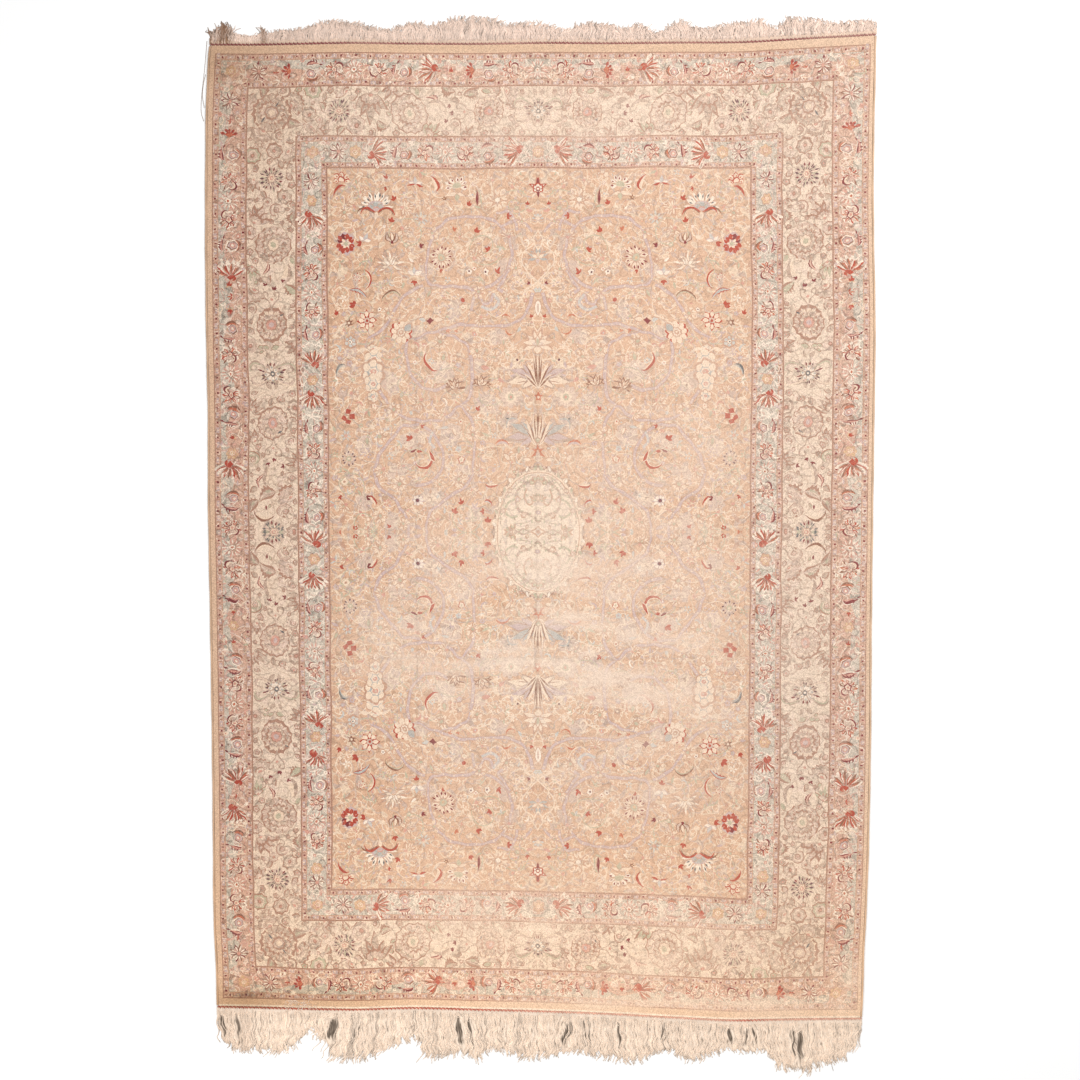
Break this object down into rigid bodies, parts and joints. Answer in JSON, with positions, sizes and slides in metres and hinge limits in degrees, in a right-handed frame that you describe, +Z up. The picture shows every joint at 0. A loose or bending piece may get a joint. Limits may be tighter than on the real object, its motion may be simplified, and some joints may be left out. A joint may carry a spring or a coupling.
{
  "type": "hereke silk rug",
  "caption": "Rectangular silk pile rug lying flat, with a central medallion, floral field and borders, overcast sides, twined end cords and warp fringes.",
  "frame": {"origin": "on the floor under the middle of the whole rug, fringes included", "axes": "+X across the rug, +Y along it towards the end with the short fringe, +Z up out of the pile"},
  "size_m": [2.0376, 3.2538, 0.005],
  "materials": {
    "pile": "clipped silk pile, soft sheen, faded peach and camel ground with a traditional floral pattern",
    "selvedge": "camel silk overcasting, satin",
    "end_cord": "plum and white silk twining, satin",
    "warp": "loose undyed silk warps, matt and a little frayed"
  },
  "bodies": {
    "root": {"rug_body": "pile", "selvedge_left": "selvedge", "selvedge_right": "selvedge", "end_cord_upper": "end_cord", "end_cord_lower": "end_cord", "fringe_upper": "warp", "fringe_lower": "warp"}
  },
  "joints": []
}
